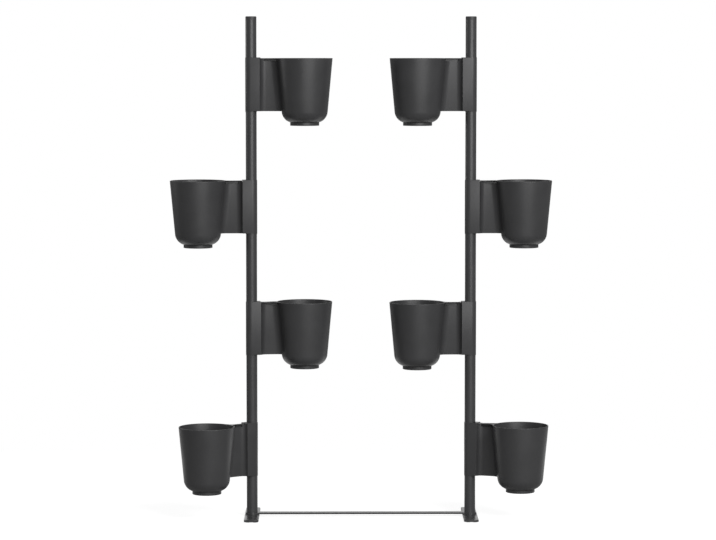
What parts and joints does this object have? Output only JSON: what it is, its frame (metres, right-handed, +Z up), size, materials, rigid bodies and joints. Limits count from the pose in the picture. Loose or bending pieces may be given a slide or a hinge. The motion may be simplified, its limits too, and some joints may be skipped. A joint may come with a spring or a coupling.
{
  "type": "planter room divider",
  "caption": "Free-standing planter room divider: slim tube posts on flat feet tied by a floor strip, with tapered lift-out pots on arms that swivel about the posts.",
  "frame": {"origin": "on the floor, under the middle of the whole outline with the arms as pictured; the line of posts is 24.4 mm behind it", "axes": "+Z up; +X from the left post to the right one; -Y towards a person in front"},
  "size_m": [1.1145, 0.2885, 1.466],
  "materials": {
    "powder_coated_tube": "semi-matt powder coat",
    "powder_coated_steel": "satin powder coat",
    "holder_plastic": "fine moulded grain",
    "pot_plastic": "fine moulded grain",
    "cap_plastic": "moulded",
    "insert_steel": "turned",
    "zinc_plated_bolt": "zinc plated",
    "pad_rubber": "matt"
  },
  "bodies": {
    "frame": {"crossbar": "powder_coated_steel", "post_bolts": "zinc_plated_bolt", "foot_pads": "pad_rubber", "left_foot_plate": "powder_coated_steel", "left_threaded_insert": "insert_steel", "left_top_cap": "cap_plastic", "left_tube_1": "powder_coated_tube", "left_tube_2": "powder_coated_tube", "left_tube_3": "powder_coated_tube", "left_tube_4": "powder_coated_tube", "left_tube_5": "powder_coated_tube", "right_foot_plate": "powder_coated_steel", "right_threaded_insert": "insert_steel", "right_top_cap": "cap_plastic", "right_tube_1": "powder_coated_tube", "right_tube_2": "powder_coated_tube", "right_tube_3": "powder_coated_tube", "right_tube_4": "powder_coated_tube", "right_tube_5": "powder_coated_tube"},
    "left_arm_1": {"left_holder_1": "holder_plastic"},
    "left_planter_1": {"left_pot_1": "pot_plastic"},
    "left_arm_2": {"left_holder_2": "holder_plastic"},
    "left_planter_2": {"left_pot_2": "pot_plastic"},
    "left_arm_3": {"left_holder_3": "holder_plastic"},
    "left_planter_3": {"left_pot_3": "pot_plastic"},
    "left_arm_4": {"left_holder_4": "holder_plastic"},
    "left_planter_4": {"left_pot_4": "pot_plastic"},
    "right_arm_1": {"right_holder_1": "holder_plastic"},
    "right_planter_1": {"right_pot_1": "pot_plastic"},
    "right_arm_2": {"right_holder_2": "holder_plastic"},
    "right_planter_2": {"right_pot_2": "pot_plastic"},
    "right_arm_3": {"right_holder_3": "holder_plastic"},
    "right_planter_3": {"right_pot_3": "pot_plastic"},
    "right_arm_4": {"right_holder_4": "holder_plastic"},
    "right_planter_4": {"right_pot_4": "pot_plastic"}
  },
  "joints": [
    {"name": "left_swivel_1", "type": "hinge", "parent": "frame", "child": "left_arm_1", "pos_m": [-0.32, 0.02437, 0.121], "axis": [0, 0, 1], "continuous": true},
    {"name": "left_lift_1", "type": "slide", "parent": "left_arm_1", "child": "left_planter_1", "axis": [0, 0, 1], "range_m": [0, 0.152]},
    {"name": "left_swivel_2", "type": "hinge", "parent": "frame", "child": "left_arm_2", "pos_m": [-0.32, 0.02437, 0.477], "axis": [0, 0, 1], "continuous": true},
    {"name": "left_lift_2", "type": "slide", "parent": "left_arm_2", "child": "left_planter_2", "axis": [0, 0, 1], "range_m": [0, 0.152]},
    {"name": "left_swivel_3", "type": "hinge", "parent": "frame", "child": "left_arm_3", "pos_m": [-0.32, 0.02437, 0.833], "axis": [0, 0, 1], "continuous": true},
    {"name": "left_lift_3", "type": "slide", "parent": "left_arm_3", "child": "left_planter_3", "axis": [0, 0, 1], "range_m": [0, 0.152]},
    {"name": "left_swivel_4", "type": "hinge", "parent": "frame", "child": "left_arm_4", "pos_m": [-0.32, 0.02437, 1.189], "axis": [0, 0, 1], "continuous": true},
    {"name": "left_lift_4", "type": "slide", "parent": "left_arm_4", "child": "left_planter_4", "axis": [0, 0, 1], "range_m": [0, 0.152]},
    {"name": "right_swivel_1", "type": "hinge", "parent": "frame", "child": "right_arm_1", "pos_m": [0.32, 0.02437, 0.121], "axis": [0, 0, 1], "continuous": true},
    {"name": "right_lift_1", "type": "slide", "parent": "right_arm_1", "child": "right_planter_1", "axis": [0, 0, 1], "range_m": [0, 0.152]},
    {"name": "right_swivel_2", "type": "hinge", "parent": "frame", "child": "right_arm_2", "pos_m": [0.32, 0.02437, 0.477], "axis": [0, 0, 1], "continuous": true},
    {"name": "right_lift_2", "type": "slide", "parent": "right_arm_2", "child": "right_planter_2", "axis": [0, 0, 1], "range_m": [0, 0.152]},
    {"name": "right_swivel_3", "type": "hinge", "parent": "frame", "child": "right_arm_3", "pos_m": [0.32, 0.02437, 0.833], "axis": [0, 0, 1], "continuous": true},
    {"name": "right_lift_3", "type": "slide", "parent": "right_arm_3", "child": "right_planter_3", "axis": [0, 0, 1], "range_m": [0, 0.152]},
    {"name": "right_swivel_4", "type": "hinge", "parent": "frame", "child": "right_arm_4", "pos_m": [0.32, 0.02437, 1.189], "axis": [0, 0, 1], "continuous": true},
    {"name": "right_lift_4", "type": "slide", "parent": "right_arm_4", "child": "right_planter_4", "axis": [0, 0, 1], "range_m": [0, 0.152]}
  ]
}
